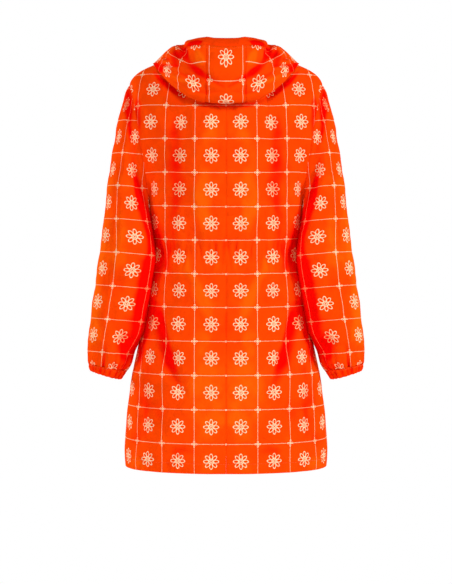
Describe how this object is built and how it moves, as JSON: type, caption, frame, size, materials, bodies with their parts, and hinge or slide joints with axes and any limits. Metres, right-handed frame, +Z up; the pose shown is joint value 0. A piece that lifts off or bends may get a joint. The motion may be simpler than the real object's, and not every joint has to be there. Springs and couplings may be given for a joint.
{
  "type": "long raincoat",
  "caption": "Long hooded raincoat in light printed nylon, worn open-bottomed and hollow, with the hood down, elastic cuffs and a drawn-in waist",
  "frame": {"origin": "the middle of the neck opening, level with the neck ends of the shoulder seams, where the wearer's shoulders hold the coat up", "axes": "+Z up, the front faces -Y, the back faces +Y, +X is the wearer's left"},
  "size_m": [0.619, 0.3174, 0.9505],
  "materials": {
    "printed_nylon": "light orange-red nylon with a soft sheen and a thin cream print",
    "turned_nylon": "the same nylon, turned and stitched double",
    "stud_enamel": "orange enamelled press stud caps"
  },
  "bodies": {
    "root": {"back_left": "printed_nylon", "back_right": "printed_nylon", "front_left": "printed_nylon", "front_right": "printed_nylon", "sleeve_left": "printed_nylon", "sleeve_right": "printed_nylon", "hood_gusset": "printed_nylon", "hood_side_left": "printed_nylon", "hood_side_right": "printed_nylon", "hood_rim": "turned_nylon", "cuff_left": "turned_nylon", "cuff_right": "turned_nylon", "placket": "turned_nylon", "stud_1": "stud_enamel", "stud_2": "stud_enamel", "stud_3": "stud_enamel", "stud_4": "stud_enamel", "stud_5": "stud_enamel", "stud_6": "stud_enamel"}
  },
  "joints": []
}
